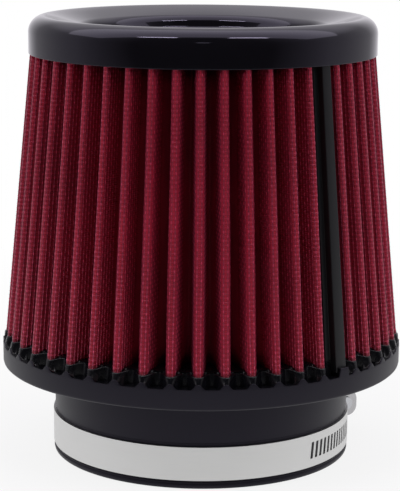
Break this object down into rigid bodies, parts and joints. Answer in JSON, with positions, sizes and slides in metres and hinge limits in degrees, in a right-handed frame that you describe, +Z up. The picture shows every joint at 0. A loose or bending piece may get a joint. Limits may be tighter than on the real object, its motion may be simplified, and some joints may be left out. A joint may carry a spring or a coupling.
{
  "type": "cone air filter",
  "caption": "Red pleated cone air filter with a black dished top cap, a black moulded base and neck, and a steel worm clamp, for the open end of an engine intake pipe.",
  "frame": {"origin": "centre of the neck's lower rim, at the bottom of the part", "axes": "+Z up the cone's axis from the neck to the cap, -Y the side that faces the camera, +X to the camera's right"},
  "size_m": [0.1524, 0.1524, 0.1665],
  "materials": {
    "cap_rubber": "gloss",
    "red_gauze": "oiled cotton gauze between wire screens",
    "black_plastic": "satin",
    "black_resin": "gloss",
    "base_rubber": "satin",
    "band_steel": "satin",
    "housing_steel": "satin",
    "screw_steel": "zinc plated"
  },
  "bodies": {
    "filter": {"top_cap": "cap_rubber", "pleated_media": "red_gauze", "seam_strip": "black_plastic", "base_potting": "black_resin", "base_flange": "base_rubber", "clamp_band": "band_steel", "clamp_housing": "housing_steel"},
    "screw": {"clamp_screw": "screw_steel"}
  },
  "joints": [
    {"name": "screw_turn", "type": "hinge", "parent": "filter", "child": "screw", "pos_m": [0.05527, 0.02939, 0.00955], "axis": [-0.4695, 0.8829, 0], "continuous": true}
  ]
}
